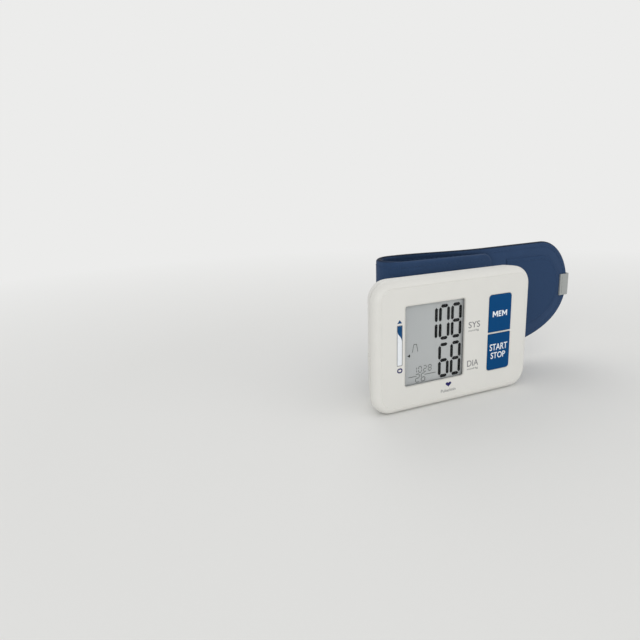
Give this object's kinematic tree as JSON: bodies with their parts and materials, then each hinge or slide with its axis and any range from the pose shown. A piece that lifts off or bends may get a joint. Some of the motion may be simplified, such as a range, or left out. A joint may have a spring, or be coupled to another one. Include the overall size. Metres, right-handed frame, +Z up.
{
  "type": "wrist blood pressure monitor",
  "caption": "Wrist blood pressure monitor with a display and push keys on an ivory casing, fixed to a looped fabric cuff with a free flap and pull tab.",
  "frame": {"origin": "middle of the flat base that the casing stands on", "axes": "+X right and +Y back for someone facing the display, +Z up along the wrist loop"},
  "size_m": [0.1491, 0.0438, 0.067],
  "materials": {
    "casing_plastic": "satin moulded ivory",
    "key_plastic": "satin deep blue with printed legends",
    "clear_lens": "clear polished",
    "lcd_glass": "grey reflective display",
    "dark_plastic": "black moulded",
    "white_plastic": "natural moulded",
    "silicone": "soft matt",
    "board": "green lacquer",
    "steel": "plain",
    "cell_jacket": "gloss sleeve",
    "cuff_fabric": "navy brushed loop fabric",
    "hook_fabric": "navy hook tape",
    "tab_fabric": "grey woven tape"
  },
  "bodies": {
    "casing": {"front_cover": "casing_plastic", "rear_cover": "casing_plastic", "case_screw_1": "steel", "case_screw_2": "steel", "case_screw_3": "steel", "display_lens": "clear_lens", "lcd_panel": "lcd_glass", "lcd_holder": "dark_plastic", "lcd_connector": "silicone", "memory_switch": "dark_plastic", "start_stop_switch": "dark_plastic", "circuit_board": "board", "board_screw_1": "steel", "board_screw_2": "steel", "processor_chip": "dark_plastic", "buzzer": "dark_plastic", "cell_lower": "cell_jacket", "cell_upper": "cell_jacket", "battery_spring": "steel", "battery_contact": "steel", "pump_motor": "steel", "pump_head": "white_plastic", "pump_diaphragm": "silicone", "air_tube": "silicone", "air_block": "white_plastic", "valve_coil": "steel", "pressure_sensor": "dark_plastic", "cuff_panel": "cuff_fabric", "cuff_core_plate": "white_plastic", "air_bladder": "silicone", "cuff_lining": "cuff_fabric", "cuff_bend": "cuff_fabric"},
    "memory_key": {"memory_key": "key_plastic", "memory_switch_plunger": "white_plastic"},
    "start_stop_key": {"start_stop_key": "key_plastic", "start_stop_switch_plunger": "white_plastic"},
    "battery_door": {"battery_door": "casing_plastic", "door_contact": "steel"},
    "motor_shaft": {"motor_shaft": "steel"},
    "valve_plunger": {"valve_plunger": "steel"},
    "cuff_wrap": {"cuff_wrap": "cuff_fabric", "hook_patch": "hook_fabric", "pull_tab": "tab_fabric"}
  },
  "joints": [
    {"name": "memory_press", "type": "slide", "parent": "casing", "child": "memory_key", "axis": [0, 1, 0], "range_m": [0, 0.0006], "stiffness_N_per_m": 900},
    {"name": "start_stop_press", "type": "slide", "parent": "casing", "child": "start_stop_key", "axis": [0, 1, 0], "range_m": [0, 0.0006], "stiffness_N_per_m": 900},
    {"name": "battery_door_hinge", "type": "hinge", "parent": "casing", "child": "battery_door", "pos_m": [-0.04054, -0.0012, 0.0073], "axis": [-0.4695, -0.8829, 0], "range_deg": [0, 75]},
    {"name": "motor_spin", "type": "hinge", "parent": "casing", "child": "motor_shaft", "pos_m": [-0.012, 0.0038, 0.03765], "axis": [1, 0, 0], "continuous": true},
    {"name": "valve_slide", "type": "slide", "parent": "casing", "child": "valve_plunger", "axis": [0, 0, 1], "range_m": [0, 0.0006], "stiffness_N_per_m": 200},
    {"name": "cuff_open", "type": "hinge", "parent": "casing", "child": "cuff_wrap", "pos_m": [-0.0214, 0.0218, 0.0377], "axis": [0, 0, 1], "range_deg": [0, 100], "stiffness_Nm_per_rad": 0.01}
  ]
}
